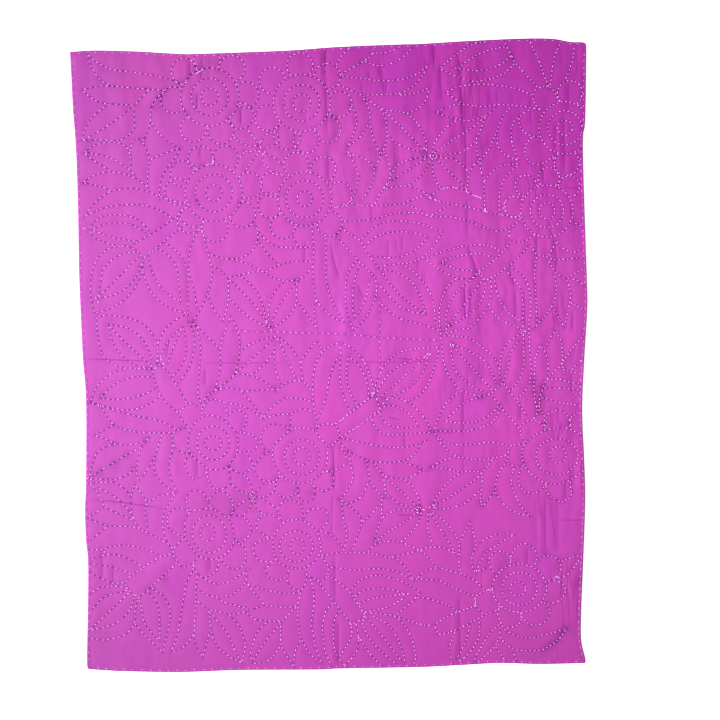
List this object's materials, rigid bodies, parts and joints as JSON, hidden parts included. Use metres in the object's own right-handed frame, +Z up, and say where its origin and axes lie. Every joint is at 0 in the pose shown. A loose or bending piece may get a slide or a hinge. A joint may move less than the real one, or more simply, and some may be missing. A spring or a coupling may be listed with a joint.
{
  "type": "kantha quilt",
  "caption": "Thin hand-quilted cotton coverlet lying flat, stitched all over with round flowers and pointed leaves.",
  "frame": {"origin": "middle of the quilt's outer box, on the flat underside", "axes": "+Y along the long side towards the top edge, +X towards the right edge, +Z up from the underside to the stitched face"},
  "size_m": [0.931, 1.1404, 0.0044],
  "materials": {
    "fabric": "soft sheen cotton, orchid pink"
  },
  "bodies": {
    "root": {"quilt": "fabric"}
  },
  "joints": []
}
